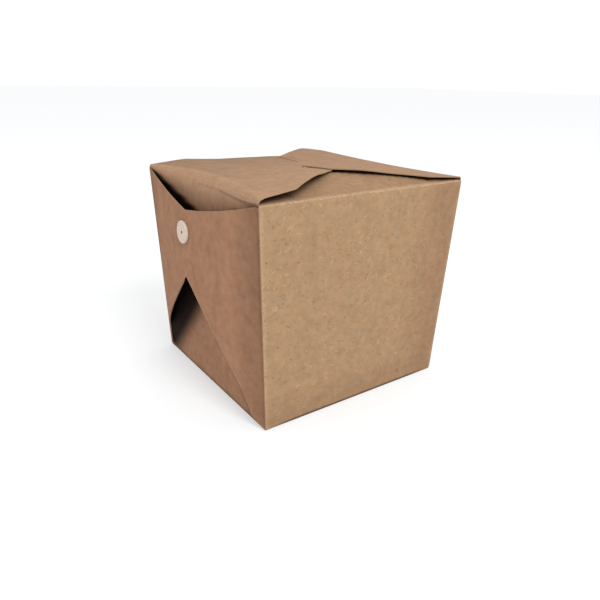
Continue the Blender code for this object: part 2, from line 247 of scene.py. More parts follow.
class Kraft(Finish):
    """Unbleached kraft board: mottled, with short fibres pressed into its face."""

    def __init__(self, name, first, second, fibres, worn_and_lit):
        super().__init__(name, 0.88, 0.05)
        flat = self.attribute("flat", "Vector")
        tint = self.attribute("tint", "Fac")
        wear_and_highlight = self.attribute("wear_and_highlight", "Fac")
        painted_shade = self.attribute("painted_shade", "Fac")
        drift = self.node("ShaderNodeTexNoise", {"noise_dimensions": "2D"},
                          {"Vector": flat, "Scale": 0.28, "Detail": 1.0}, "Color")
        bent = self.vector("SUBTRACT", drift, (0.5, 0.5, 0.5))
        bent = self.vector("MULTIPLY", bent, (2.2, 2.2, 0.0))
        place = self.vector("ADD", flat, bent)
        amount = tint * (fibres[1] - fibres[0]) + fibres[0]

        clouds = self.noise(flat, 12.0, 3.0, 0.6)
        patches = self.noise(flat, 3.4, 1.0, 0.5)
        pulp = self.noise(flat, 1.1, 2.0, 0.6)
        grain = self.noise(flat, 0.4, 1.0, 0.6)
        streaks = self.noise(self.vector("MULTIPLY", place, (1.0, 0.16, 1.0)), 0.8, 1.0)
        sweep = self.noise(self.vector("MULTIPLY", flat, (1.0, 0.6, 1.0)), 8.0, 2.0, 0.55)
        shade = 0.20 * clouds + 0.26 * patches + 0.03 * pulp + 0.01 * grain + 0.04 * streaks
        shade = (shade - 0.265) * 1.05 + (1.0 - tint) * (sweep - 0.5) * 0.28 + 1.0

        dark = self.strokes(place, 78, 6.5, 1.1, 0.16, 11.0)
        dark = dark + self.strokes(place, 24, 5.6, 1.05, 0.13, 47.0)
        dark = dark + self.strokes(place, -38, 6.0, 1.0, 0.13, 83.0)
        dark = dark + self.strokes(place, 58, 3.0, 1.7, 0.16, 29.0)
        specks = self.strokes(place, 10, 5.4, 4.8, 0.34, 61.0, 0.085)
        pale = self.strokes(place, 84, 6.0, 1.0, 0.04, 19.0)
        pale = pale + self.strokes(place, 38, 5.6, 0.95, 0.03, 71.0)
        pale = pale + self.strokes(place, -50, 5.2, 0.95, 0.03, 97.0)
        pale = pale + self.strokes(place, -8, 4.6, 1.0, 0.05, 53.0)

        colour = self.blend(tint, first, second)
        hue = self.noise(self.vector("ADD", flat, (57.0, 31.0, 0.0)), 5.0, 2.0, 0.55)
        colour = self.blend(((hue - 0.38) * 2.4).held(), colour,
                            self.blend(1.0, colour, RUDDY, "MULTIPLY"))
        colour = self.blend(1.0, colour, self.grey(shade), "MULTIPLY")
        colour = self.blend((dark.held() * amount * 0.24).held(), colour, DARK_FIBRE)
        colour = self.blend((specks * amount * 0.45).held(), colour, SPECK)
        colour = self.blend((pale.held() * amount * 0.30).held(), colour, PALE_FIBRE)
        # Wear and painted highlight: the paler colour, broken up by noise.
        rubbed_and_lit = (self.noise(flat, 1.1, 2.0, 0.6) - 0.28) * 2.2
        colour = self.blend((rubbed_and_lit.held() * wear_and_highlight).held(), colour, worn_and_lit)
        # Painted shade: the colour goes towards near black in gaps, under flaps and at the foot.
        colour = self.blend(painted_shade, colour, GAP_SHADE)
        relief = 0.5 * grain + 0.35 * pulp + 0.25 * pale - 0.2 * dark
        bump = self.node("ShaderNodeBump", {}, {"Strength": 0.22, "Distance": 0.05 * MM,
                                                "Height": relief})
        self.link(Base_Color=colour, Normal=bump, Roughness=(0.90 - 0.16 * pulp))

    def grey(self, shade):
        return self.node("ShaderNodeCombineColor", {}, {0: shade, 1: shade, 2: shade})

    def strokes(self, place, degrees, length, width, share, seed, reach=0.24):
        """Short fibres in one direction, one to a cell, and only a share of the cells."""
        turned = self.node("ShaderNodeVectorRotate", {"rotation_type": "Z_AXIS"},
                           {"Vector": place, "Angle": math.radians(degrees)})
        cells = self.vector("MULTIPLY", turned, (1.0 / width, 1.0 / length, 0.0))
        cells = self.vector("ADD", cells, (seed, seed * 1.7, 0.0))
        voronoi = {"voronoi_dimensions": "2D"}
        sockets = {"Vector": cells, "Scale": 1.0}
        near = self.node("ShaderNodeTexVoronoi", voronoi, sockets, "Distance")
        pick = self.node("ShaderNodeTexVoronoi", voronoi, sockets, "Color")
        pick = self.node("ShaderNodeSeparateColor", {}, {"Color": pick}, "Red")
        mark = ((reach - near) * (2.2 / reach)).held()
        return mark * (pick < share)


class CutEdge(Finish):
    """The cut edge of the board, paler with wear and with painted highlight, darker with painted
    shade, with the layers of pulp showing.
    """

    def __init__(self, name, colour, worn_and_lit):
        super().__init__(name, 0.9, 0.05)
        flat = self.attribute("flat", "Vector")
        painted_shade = self.attribute("painted_shade", "Fac")
        wear_and_highlight = self.attribute("wear_and_highlight", "Fac")
        fuzz = self.noise(flat, 0.5, 3.0, 0.7)
        shade = self.blend(wear_and_highlight, colour, worn_and_lit)
        shade = self.blend((fuzz * 1.4 - 0.3).held(), self.blend(0.5, shade, colour), shade)
        # Painted shade: the edge goes towards near black in gaps.
        shade = self.blend(painted_shade, shade, EDGE_GAP_SHADE)
        bump = self.node("ShaderNodeBump", {}, {"Strength": 0.5, "Distance": 0.06 * MM,
                                                "Height": fuzz})
        self.link(Base_Color=shade, Normal=bump)


class Lining(Finish):
    """The inner face of the board, smoother and browner than the outer one."""

    def __init__(self, name, colour):
        super().__init__(name, 0.8, 0.08)
        flat = self.attribute("flat", "Vector")
        painted_shade = self.attribute("painted_shade", "Fac")
        cloud = self.noise(flat, 6.0, 4.0, 0.6)
        shade = self.blend(cloud, [c * 0.82 for c in colour], [c * 1.1 for c in colour])
        # Painted shade: the inner face goes towards near black in gaps.
        shade = self.blend(painted_shade, shade, GAP_SHADE)
        bump = self.node("ShaderNodeBump", {}, {"Strength": 0.25, "Distance": 0.05 * MM,
                                                "Height": self.noise(flat, 0.5)})
        self.link(Base_Color=shade, Normal=bump)


kraft_wrap = Kraft("kraft_wrap", END, PLAIN, (0.28, 1.0), WORN_AND_LIT)
kraft_ends = Kraft("kraft_ends", END, LID, (0.28, 0.22), WORN_AND_LIT)
cut_edge = CutEdge("cut_edge", EDGE, PALE_EDGE)
lining = Lining("lining", INSIDE)

# Gussets: the wrap's side edges, turned round the box's corners and across its ends. The two of
# an end meet in a strip that stands off the end panel, with a notch above and an arch below.
# One of them, at the corner where x and y have the same sign, is folded slacker than the other.
NOTCH_Z, NOTCH_END_Z = 85.8 * MM, 96.4 * MM
NOTCH_SAG = 1.1 * MM
ARCH_Z, ARCH_END_Z = 56.0 * MM, 1.0 * MM
ARCH_SPREAD, ARCH_CURVE = 44.5 * MM, 1.68
ARCH_FOOT, FOOT_Z = 6.7 * MM, 5.0 * MM
ARCH_SLOPE, ARCH_BEND = 0.9, 3.8
EDGE_MARGIN = 0.8 * MM
STAND_OFF_LOW, STAND_OFF_HIGH = 8.9 * MM, 3.9 * MM
STAND_OFF_FALL = 2.2
STAND_OFF_BOW = 2.3
ARCH_ROLL = 0.5 * MM
ROLL_FADE = 4.0 * MM
GUSSET_SHIFT = 1.7 * MM
CORNER_FOLD = 0.5 * MM


def stand_off(y, z):
    """How far the gusset strip stands out from the plane of the corners."""
    middle = mix(STAND_OFF_LOW, STAND_OFF_HIGH, (z / HEIGHT) ** STAND_OFF_FALL)
    return middle * (1.0 - clamp(abs(y) / half_y(z), 0.0, 1.0) ** STAND_OFF_BOW)


def arch_roll(z):
    """Radius of the fold along the arch, which dies away at its top."""
    return ARCH_ROLL * smooth((ARCH_Z - z) / ROLL_FADE)


def gusset_inner_y(side, hand, z):
    """Where a gusset ends at a height, measured towards its own corner: at the arch below, at
    the notch above, and between them where it meets the other gusset, a little off the middle."""
    slack = hand == side
    middle = -GUSSET_SHIFT if slack else GUSSET_SHIFT
    if z < ARCH_Z:
        fall = ARCH_Z - z
        reach = fall * (ARCH_SLOPE + ARCH_BEND * fall)
        if slack:
            reach = ARCH_SPREAD * (1.0 - (z / ARCH_Z) ** ARCH_CURVE)
            reach += ARCH_FOOT * max(0.0, 1.0 - z / FOOT_Z)
        reach += 1.3 * arch_roll(z)
        return min(middle + reach, half_y(z) - EDGE_MARGIN)
    if z > NOTCH_Z:
        across = (z - NOTCH_Z) / (HEIGHT - NOTCH_Z)
        if slack:
            sag = 4 * NOTCH_SAG / (HEIGHT - NOTCH_Z)
            across = (math.sqrt((1.0 - sag) ** 2 + 4 * sag * across) - 1.0 + sag) / (2 * sag)
        return mix(middle, half_y(z), across)
    return middle


def corner_turn(z):
    """How far the board turns at a vertical corner, from plain side to gusset, in radians."""
    lean = STAND_OFF_BOW * mix(STAND_OFF_LOW, STAND_OFF_HIGH, (z / HEIGHT) ** STAND_OFF_FALL)
    return math.pi / 2 - math.atan(lean / half_y(z))


def corner_tangent(z):
    return CORNER_FOLD * math.tan(corner_turn(z) / 2)


# Outer lid flaps' outlines and heights, which the inner flaps below them stay clear of. Each
# flap is twisted by its neighbour at the lock, so its two side edges rise differently.
SHOULDER_X, SHOULDER_Y = 36.4 * MM, 49.0 * MM
TIP_REACH = 7.2 * MM
EDGE_CLEAR = 0.3 * MM
LOCK_GAP = 0.65 * MM
LOCK_SLANT = 1.9
LOCK_SPAN, LOCK_REACH = 2.4 * MM, 15.0 * MM
BEND_SPAN = 0.10
HUMP_RISE, HUMP_FALL = 12.0, 1.5

# Corners of a flap's tip, as (distance towards its own end, half width), for the flap from -X
# and from +X, and for its side edge that faces -Y and +Y.
FLAP_TIP = {
    (-1, -1): ((0.0, 23.8 * MM), (-TIP_REACH, 8.9 * MM)),
    (-1, 1): ((-3.8 * MM, 23.8 * MM), (-TIP_REACH, 11.8 * MM)),
    (1, -1): ((0.0, 23.8 * MM), (-TIP_REACH, 8.9 * MM)),
    (1, 1): ((0.0, 20.9 * MM), (-TIP_REACH, 7.0 * MM)),
}

# Rise of each side edge above the box's height, at the hinge, the shoulder and the middle, then
# its bow between the last two and its hump by the hinge.
FLAP_RISE = {
    (-1, -1): (1.1 * MM, 4.4 * MM, 5.5 * MM, 1.3 * MM, 1.75 * MM),
    (-1, 1): (1.0 * MM, 2.95 * MM, 5.0 * MM, -0.8 * MM, 0.0),
    (1, -1): (1.5 * MM, 2.7 * MM, 5.3 * MM, 0.3 * MM, 0.0),
    (1, 1): (1.6 * MM, 4.3 * MM, 4.3 * MM, 0.0, 0.0),
}


def flap_edge(side, hand, out):
    """Half width of an outer flap towards one hand, at a distance out from the middle."""
    stations = ((TOP_X / 2, TOP_Y / 2 - EDGE_CLEAR), (SHOULDER_X, SHOULDER_Y),
                *FLAP_TIP[side, hand])
    for (x0, w0), (x1, w1) in zip(stations, stations[1:]):
        if out >= x1:
            return mix(w0, w1, clamp((x0 - out) / (x0 - x1), 0.0, 1.0))
    return stations[-1][1]


def edge_rise(side, hand, out):
    """Rise of a flap's side edge, straight to the shoulder and to the middle, eased between."""
    hinge, shoulder, middle, bow, hump = FLAP_RISE[side, hand]
    bend = 1.0 - SHOULDER_X / (TOP_X / 2)
    u = clamp(1.0 - out / (TOP_X / 2), 0.0, 1.1)
    first, second = (shoulder - hinge) / bend, (middle - shoulder) / (1.0 - bend)
    past = clamp(u - bend, -BEND_SPAN, BEND_SPAN)
    eased = (past + BEND_SPAN) ** 2 / (4 * BEND_SPAN) + max(0.0, u - bend - BEND_SPAN)
    along = clamp((u - bend) / (1.0 - bend), 0.0, 1.0)
    near = clamp(u / bend, 0.0, 1.0)
    rise = hinge + first * u + (second - first) * eased + 4 * bow * along * (1.0 - along)
    return rise + hump * (1.0 - near) ** HUMP_FALL * (1.0 - math.exp(-HUMP_RISE * near))


def flap_plane(side, out, y):
    """Height of an outer flap before it is pressed onto the other at the lock."""
    near, far = (edge_rise(side, hand, out) for hand in (-1, 1))
    near_y, far_y = (hand * flap_edge(side, hand, max(0.0, out)) for hand in (-1, 1))
    return HEIGHT + mix(near, far, clamp((y - near_y) / (far_y - near_y), -0.4, 1.4))


def flap_z(side, x, y):
    """Height of an outer flap's top face. The flap from +X is on top where y is less than
    LOCK_SLANT times x, and the flap from -X is on top beyond that line."""
    own = flap_plane(side, side * x, y)
    other = flap_plane(-side, -side * x, y)
    lock = 1.0 - smooth((abs(x) - TIP_REACH) / LOCK_REACH)
    under = clamp(side * (y - LOCK_SLANT * x) / LOCK_SPAN, 0.0, 1.0)
    return own + lock * ((other - own) / 2 - under * LOCK_GAP)


# Wrap and gussets made up: the board's rows run from the middle of the base up each plain side
# and in below the lid as an inner flap, which lies clear of the outer flaps. A side's rows run on
# round the corners into the gussets, whose lower edges are turned back under along the arch.
BASE_FOLD, SIDE_FOLD = 0.6 * MM, 1.2 * MM
INNER_RISE, INNER_LEVEL = 9.6 * MM, 0.52
INNER_BULGE, BULGE_SPREAD = 1.3 * MM, 22.0 * MM
INNER_DEPTH, INNER_TAPER = 38.0 * MM, 0.42
INNER_CLEAR, INNER_EASE = 0.25 * MM, 0.6 * MM
WAVE, WAVE_LENGTH, WAVE_WIDTH = 0.13 * MM, 34.0 * MM, 41.0 * MM
SPACING, BAND_SPACING = 1.9 * MM, 0.5 * MM
BASE_ROWS, FOLD_STEPS, TOP_FOLD_STEPS = 12, 4, 7
WRAP_COLUMNS = 58
GUSSET_EDGES = ("side", "base fold")
GUSSET_COLUMNS, ARCH_FOLD_STEPS = 30, 6
GUSSET_FLAT = 300.0 * MM
FOLD_BACK = 3.0 * MM
# Painted shade at the foot of one corner: the height it reaches and its strength.
FAR_SHADE_Z, FAR_SHADE = 13.0 * MM, 0.7
# Painted contact shadow along the foot of the plain sides: the height it reaches and its strength.
CONTACT_Z, CONTACT_SHADE = 1.8 * MM, 0.75
HAIR = 1e-9


def steps(first, last, spacing):
    """Evenly spaced numbers from first to last, about a spacing apart."""
    count = max(1, round(abs(last - first) / spacing))
    return [mix(first, last, i / count) for i in range(count + 1)]


def wave(a, b, seed):
    """The slight unevenness of a panel of board, at a place on it."""
    place = Vector((a / WAVE_LENGTH, b / WAVE_WIDTH, seed))
    return WAVE * (noise.noise(place) + 0.35 * noise.noise(place * 2.7))


def inner_z(x, y):
    """Height of the inner flaps' top face, clear of the outer flaps above."""
    w = clamp(1.0 - abs(y) / (TOP_Y / 2), 0.0, INNER_LEVEL)
    hand = 1 if y > 0 else -1
    free = HEIGHT + INNER_RISE * w ** 1.5
    free += INNER_BULGE * smooth(w / 0.2) * smooth(-hand * x / BULGE_SPREAD)
    above = [flap_z(side, x, y) for side in (-1, 1) if side * x > -TIP_REACH]
    limit = min(above) - CARD - INNER_CLEAR
    gap = clamp((limit - free) / INNER_EASE, -1.0, 1.0)
    return min(free, limit) - INNER_EASE * (1.0 - abs(gap)) ** 2 / 4


def wrap_profile(hand):
    """Rows of half the wrap, from the middle of the base up a plain side and in to the end of
    its inner flap, each as (part of the wrap, y, z, distance along the board)."""
    rows = [("base", mix(0.0, half_y(0.0) - BASE_FOLD, i / BASE_ROWS), 0.0)
            for i in range(BASE_ROWS)]
    for i in range(FOLD_STEPS + 1):
        angle = math.pi / 2 * i / FOLD_STEPS
        rows.append(("base fold", half_y(BASE_FOLD) - BASE_FOLD * (1 - math.sin(angle)),
                     BASE_FOLD * (1 - math.cos(angle))))
    marks = [BASE_FOLD, ARCH_END_Z, CONTACT_Z, ARCH_Z, NOTCH_Z, NOTCH_END_Z]
    for low, high in zip(marks, marks[1:]):
        spacing = SPACING if high - low > 2 * SPACING else BAND_SPACING
        rows += [("side", half_y(z), z) for z in steps(low, high, spacing)[1:]]
    for i in range(TOP_FOLD_STEPS + 1):
        angle = math.pi / 2 * i / TOP_FOLD_STEPS
        z = HEIGHT - SIDE_FOLD * (1 - math.sin(angle))
        if z > rows[-1][2] + 0.02 * MM:
            rows.append(("top fold", TOP_Y / 2 - SIDE_FOLD * (1 - math.cos(angle)), z))
    start = TOP_Y / 2 - SIDE_FOLD
    rows += [("flap", y, HEIGHT) for y in steps(start, TOP_Y / 2 - INNER_DEPTH, SPACING)[1:]]
    path, length = [], 0.0
    for (kind, y, z), before in zip(rows, [rows[0]] + rows):
        length += math.hypot(y - before[1], z - before[2])
        path.append((kind, hand * y, z, hand * length))
    return path


def wrap_row(sheet, kind, y, z, length):
    """One row of the wrap, across the box."""
    hand = 1 if y > 0 else -1
    edge = half_x(min(z, HEIGHT)) - corner_tangent(min(z, NOTCH_END_Z))
    if kind == "flap":
        edge -= INNER_TAPER * max(0.0, TOP_Y / 2 - SIDE_FOLD - abs(y))
    row = []
    for i in range(WRAP_COLUMNS + 1):
        x = mix(-edge, edge, i / WRAP_COLUMNS)
        across = 1.0 - abs(x) / edge
        px, py, pz = x, y, z
        wear_and_highlight = painted_shade = shaded = 0.0
        if kind == "side":
            up = clamp(z / HEIGHT, 0.0, 1.0)
            fade = smooth(across * 8) * smooth(up * 8) * smooth((1 - up) * 8)
            py += hand * fade * wave(x, z, 3.0 + hand)
            # Wear and painted highlight: a pale line along the vertical corners and just below the
            # top fold.
            wear_and_highlight = 0.15 * smooth((z - HEIGHT + SIDE_FOLD + 0.5 * MM) / (0.8 * MM))
            wear_and_highlight = max(wear_and_highlight, 0.55 * smooth(1.0 - (edge - abs(x)) / (2.2 * MM)))
            # Painted shade: darker, and with more of the end's tint, towards one vertical edge and
            # towards the base, with a painted contact shadow along the foot and the base fold.
            shaded = max(smooth((-hand * x / edge - 0.4) / 0.5), 0.7 * smooth(1.2 - 6.0 * up))
            contact = smooth((CONTACT_Z - z) / (CONTACT_Z - BASE_FOLD) + 0.1)
            painted_shade = max(0.18 * shaded, CONTACT_SHADE * contact * smooth(across * 2.5 + 0.2))
        elif kind == "base fold":
            painted_shade = CONTACT_SHADE * smooth(across * 2.5 + 0.2)
        elif kind == "top fold":
            pz += 0.10 * MM * noise.noise(Vector((x / (9 * MM), hand * 4.0, 0.0)))
            # Wear and painted highlight along the top fold.
            wear_and_highlight = 0.65
        elif kind == "flap":
            pz = inner_z(x, y)
            # Wear and painted highlight along the inner flap's fold; painted shade under the outer
            # flaps' edges and towards one end.
            wear_and_highlight = 0.2 * smooth(1.0 - (TOP_Y / 2 - SIDE_FOLD - abs(y)) / (0.8 * MM))
            painted_shade = max(under_flap(x, y), 0.1 * smooth(-hand * x / BULGE_SPREAD))
        tint = 0.75 if kind == "flap" else 1.0 - 0.35 * shaded
        row.append(sheet.vert((px, py, pz), (x, length), tint, wear_and_highlight, painted_shade))
    return row


def under_flap(x, y):
    """Painted shade on an inner flap, darker further in than the edge of the outer flap over it.
    """
    hand, dark = 1 if y > 0 else -1, 0.0
    for side in (-1, 1):
        if side * x > -TIP_REACH:
            cover = flap_edge(side, hand, side * x) - abs(y)
            reach, lead, most = (4.0 * MM, 0.1, 0.5) if hand == side else (1.3 * MM, -0.3, 0.8)
            dark = max(dark, most * smooth(cover / reach + lead))
    return dark


def gusset_row(sheet, side, hand, z, first, last):
    """One row of a gusset, from the plain side's edge vertex round the corner to its end."""
    turn, tangent = corner_turn(z), corner_tangent(z)
    start = Vector((side * (half_x(z) - tangent), hand * half_y(z), z))
    centre = start - Vector((0.0, hand * CORNER_FOLD, 0.0))
    row = [first]
    for i in range(1, FOLD_STEPS + 1):
        angle = turn * i / FOLD_STEPS
        point = centre + CORNER_FOLD * Vector((side * math.sin(angle), hand * math.cos(angle), 0))
        place = (GUSSET_FLAT + point.y, z)
        # Painted shade along the corner fold, darkest at the foot of one corner.
        dark = FAR_SHADE if hand != side and z < FAR_SHADE_Z else 0.12 + 0.08 * i
        row.append(sheet.vert(point, place, 1.0 - 0.25 * i, 0.0, dark))
    outer, inner = half_y(z) - tangent, gusset_inner_y(side, hand, z)
    inner = min(inner, outer - 0.3 * MM)
    for i in range(1, GUSSET_COLUMNS + 1):
        if i == GUSSET_COLUMNS and last:
            row.append(last)
            break
        t = i / GUSSET_COLUMNS
        y = mix(outer, inner, t)
        calm = smooth((half_y(z) - y) / (9 * MM)) * smooth((y - inner) / (6 * MM) + 0.4)
        x = half_x(z) + stand_off(y, z) + calm * wave(hand * y, z, 11.0 + side)
        at_edge = 1.0 - smooth((y - inner) / (0.7 * MM))
        # Painted highlight along the edge of one gusset at the notch and the arch.
        wear_and_highlight = 0.7 * at_edge if hand == side and not ARCH_Z <= z <= NOTCH_Z else 0.0
        # Painted shade: darker towards the corner, and most at the corner itself.
        painted_shade = 0.27 * (1.0 - smooth((outer - y) / (17 * MM)))
        painted_shade += 0.15 * (1.0 - smooth((outer - y) / (1.0 * MM)))
        row.append(sheet.vert((side * x, hand * y, z), (GUSSET_FLAT + hand * y, z), 0, wear_and_highlight, painted_shade))
    return row


def arch_fold(sheet, side, hand, rows):
    """The board turned back under itself along the arch, from the gusset rows' last vertices."""
    turned = []
    for z, row in rows:
        if z > ARCH_Z + HAIR:
            break
        slope = gusset_inner_y(side, hand, z + MM) - gusset_inner_y(side, hand, max(0.0, z - MM))
        along = Vector((0.0, min(slope, 0.0), 2 * MM)).normalized()
        into = Vector((0.0, -hand * along.z, along.y))
        edge = row[-1]
        radius = arch_roll(z)
        strip = [edge]
        for i in range(1, ARCH_FOLD_STEPS + 1):
            angle = math.pi * i / ARCH_FOLD_STEPS
            point = edge.co + into * radius * math.sin(angle)
            point.x -= side * radius * (1.0 - math.cos(angle))
            place = (GUSSET_FLAT + point.y, z + radius * angle)
            # Painted highlight along the fold, brighter on the slack gusset.
            strip.append(sheet.vert(point, place, 0.0, 0.6 if hand == side else 0.1))
        room = (half_y(z) - corner_tangent(z) - abs(edge.co.y)) / along.z
        reach = clamp(0.6 * room, 0.0, FOLD_BACK) * smooth((ARCH_Z - z) / ROLL_FADE)
        for part in (0.5, 1.0):
            back = edge.co - into * reach * part
            out = half_x(back.z) + stand_off(back.y, back.z) - 2 * radius
            back.x = side * min(out, abs(edge.co.x) - 1.9 * radius)
            # The part turned back under is painted dark as painted shade.
            strip.append(sheet.vert(back, (GUSSET_FLAT + back.y, z + reach), 0.0, 0.0, 0.8))
        turned.append(strip)
    sheet.grid(turned)


wrap = Sheet("wrap")
edges = {}
halves = []
for hand in (-1, 1):
    rows = [(z, kind, wrap_row(wrap, kind, y, z, length))
            for kind, y, z, length in wrap_profile(hand)]
    halves.append([row for z, kind, row in rows])
    for z, kind, row in rows:
        if kind in GUSSET_EDGES and ARCH_END_Z - HAIR <= z <= NOTCH_END_Z + HAIR:
            edges.setdefault(round(z / MM, 3), {})[hand] = (z, row[0], row[-1])
wrap.grid(halves[0])
wrap.grid(halves[1])
for side in (-1, 1):
    shared = {}
    for hand in (-1, 1):
        levels = []
        for key in sorted(edges):
            z, low, high = edges[key][hand]
            bridged = ARCH_Z - HAIR <= z <= NOTCH_Z + HAIR
            row = gusset_row(wrap, side, hand, z, high if side > 0 else low,
                             shared.get(key) if bridged else None)
            if bridged:
                shared[key] = row[-1]
            levels.append((z, row))
        wrap.grid([row for z, row in levels])
        arch_fold(wrap, side, hand, levels)
BOX_MIDDLE = Vector((0.0, 0.0, HEIGHT / 2))
carton_wrap = wrap.board(CARD, BOX_MIDDLE, (kraft_wrap, lining, cut_edge))
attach(carton_wrap, "root")
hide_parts("carton")

# End sheets: an end panel that rises from the base, turns softly over and runs on as an outer
# lid flap. Both are the same kraft board, and the two flaps slot into each other at the middle.
END_HOLLOW, HOLLOW_RISE = 2.0 * MM, 25.0 * MM
ROLL_MIDDLE, ROLL_CORNER = 7.0 * MM, 0.8 * MM
HINGE_LIFT = 0.5 * MM
EDGE_TUCK = 0.9 * MM
SIDE_CLEAR = 0.65 * MM
END_COLUMNS, TURN_STEPS = 110, 20
COLUMNS = [mix(-1.0, 1.0, i / END_COLUMNS) for i in range(END_COLUMNS + 1)]
END_FLAT = 500.0 * MM
# How far the end panel above the notch takes the lid's lighter tint, as painted light.
PANEL_TINT = 0.6
CREASE_WIDTH, SLIT_WIDTH = 0.75 * MM, 0.8 * MM
LOCK_FINE, FINE_SPACING = 12.0 * MM, 0.6 * MM
CALM_SPAN = 10.0 * MM
TURN_FLAT = 4.0 * MM
# Strength of the painted shade lines at the slit and the hook.
SLIT_SHADE = 0.85
ARCH_SHADE_START, ARCH_SHADE_SPAN = 33.0 * MM, 16.0 * MM
NOTCH_SHADE_FAR, NOTCH_SHADE_NEAR, NOTCH_SHADE_TURN = 2.2 * MM, 1.1 * MM, 14.0 * MM

# The slit and the hook where the flaps lock, drawn as painted shade lines, each from and to (x, y)
# in millimetres, and the two soft creases of an end's turn, drawn as a painted shade line and a
# painted highlight line, as (place along it in millimetres, degrees of the turn).
SLIT_SHADE_LINES = (((1.7, 21.0), (-0.2, 1.5)), ((-6.5, -12.6), (-10.5, -17.0)))
LOW_CREASE_SHADE = ((51.5, 0.0), (39.0, 11.0), (27.0, 25.0), (15.5, 34.0), (-4.0, 34.0))
HIGH_CREASE_HIGHLIGHT = ((46.0, 40.0), (37.5, 45.0), (27.0, 46.0), (18.0, 46.0))


def panel_x(y, z):
    """How far an end panel stands from the middle of the box."""
    across = 1.0 - clamp(y / half_y(z), -1.0, 1.0) ** 2
    return half_x(z) - END_HOLLOW * across * smooth(z / HOLLOW_RISE)


def roll_radius(y):
    return ROLL_CORNER + (ROLL_MIDDLE - ROLL_CORNER) * (1.0 - clamp(2 * y / TOP_Y, -1, 1) ** 2)


def roll_point(side, y, angle):
    """A point on the turn from end panel to lid flap."""
    radius = roll_radius(y)
    start = HEIGHT + HINGE_LIFT - radius
    out = panel_x(y, start) - radius * (1.0 - math.cos(angle))
    z = flap_plane(side, out, y) - radius * (1.0 - math.sin(angle))
    return Vector((side * out, y, z))


def behind_gussets(side, y, z):
    """Painted shade on an end panel, darker further in than the edges of the gussets over it."""
    if z < ARCH_Z:
        inward = abs(y) + ARCH_SLOPE * z - ARCH_SHADE_START
        return mix(0.05, 1.0, smooth(inward / ARCH_SHADE_SPAN))
    notch = NOTCH_Z + abs(y) / half_y(HEIGHT) * (HEIGHT - NOTCH_Z)
    gap = half_x(z) + stand_off(y, z) - panel_x(y, z)
    close = smooth(side * y / NOTCH_SHADE_TURN + 0.1)
    hidden = (notch - z - 0.45 * gap) / mix(NOTCH_SHADE_FAR, NOTCH_SHADE_NEAR, close)
    return mix(1.0, 0.75, close) * smooth(1.0 + hidden)


def by_crease(crease, place, angle, width):
    """How close a place on the turn is to a soft crease, given as (place along it, degrees)."""
    if not crease[-1][0] <= place <= crease[0][0]:
        return 0.0
    for (p0, a0), (p1, a1) in zip(crease, crease[1:]):
        if place >= p1:
            off = angle - math.radians(mix(a0, a1, (p0 - place) / (p0 - p1)))
            return 1.0 - smooth(abs(off) / width)
    return 0.0


def by_line(x, y, start, end, width):
    """How close a place on a flap is to a line across it: 1 on it, 0 beyond its width."""
    start, end = Vector(start) * MM, Vector(end) * MM
    along, off = end - start, Vector((x, y)) - start
    t = clamp(off.dot(along) / along.length_squared, 0.0, 1.0)
    return 1.0 - smooth((off - along * t).length / width)


def panel_rows(sheet, side):
    """Rows of an end panel, from its fold at the base to where it starts to turn over."""
    rows = []
    for i in range(FOLD_STEPS + 1):
        angle = math.pi / 2 * i / FOLD_STEPS
        x = half_x(0.0) - BASE_FOLD * (1 - math.sin(angle))
        z = BASE_FOLD * (1 - math.cos(angle))
        # Painted contact shadow along the base fold.
        rows.append([sheet.vert((side * x, t * (half_y(z) - SIDE_CLEAR), z),
                                (END_FLAT + t * half_y(z), z), 0.0, 0.0, 0.5)
                     for t in COLUMNS])
    levels = steps(BASE_FOLD, HEIGHT + HINGE_LIFT - ROLL_MIDDLE, SPACING)[1:]
    top = levels[-1]
    for level in levels:
        row = []
        for t in COLUMNS:
            y = t * (TOP_Y / 2 - SIDE_CLEAR)
            z = mix(BASE_FOLD, HEIGHT + HINGE_LIFT - roll_radius(y),
                    (level - BASE_FOLD) / (top - BASE_FOLD))
            y = t * (half_y(z) - SIDE_CLEAR)
            tuck = EDGE_TUCK * abs(t) ** 10 * (1.0 - smooth((z - 0.9 * HEIGHT) / (0.08 * HEIGHT)))
            calm = smooth((1 - abs(t)) * 6) * smooth(z / (12 * MM))
            x = panel_x(y, z) - tuck + calm * wave(y, z, 21.0 + side)
            # Painted shade behind the gussets, and above the notch the lid's lighter tint as
            # painted light.
            painted_shade = behind_gussets(side, y, z)
            tint = PANEL_TINT * smooth((z - NOTCH_Z) / (5 * MM))
            row.append(sheet.vert((side * x, y, z), (END_FLAT + y, z), tint, 0.0, painted_shade))
        rows.append(row)
    return rows


